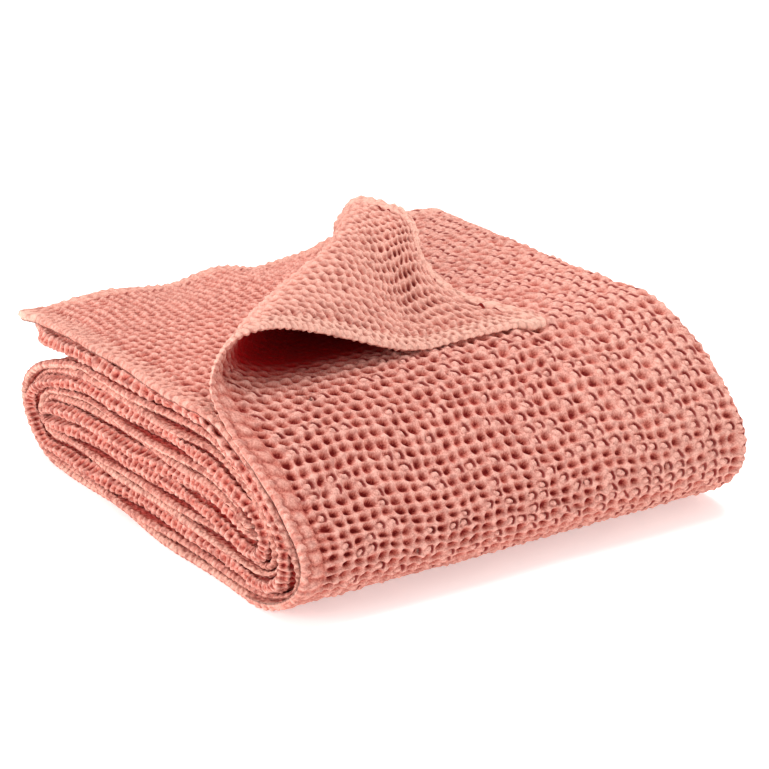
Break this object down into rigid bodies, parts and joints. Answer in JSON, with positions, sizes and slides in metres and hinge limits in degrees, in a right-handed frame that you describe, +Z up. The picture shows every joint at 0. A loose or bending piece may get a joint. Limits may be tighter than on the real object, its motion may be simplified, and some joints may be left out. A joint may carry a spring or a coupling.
{
  "type": "waffle weave cotton blanket",
  "caption": "Large coral pink waffle weave cotton blanket, folded in four across its width, rolled flat, with one corner turned back.",
  "frame": {"origin": "on the surface that the folded blanket rests on, under the middle of the roll", "axes": "+X along the roll to its closed end of folds, +Y from the front bend towards the outer hem, +Z up"},
  "size_m": [0.4611, 0.4819, 0.2075],
  "materials": {
    "waffle_cotton": "matt coral pink cotton in a deep square waffle weave, about 12 mm to a cell, with plain sewn hem ends at the corners"
  },
  "bodies": {
    "root": {"blanket": "waffle_cotton"}
  },
  "joints": []
}
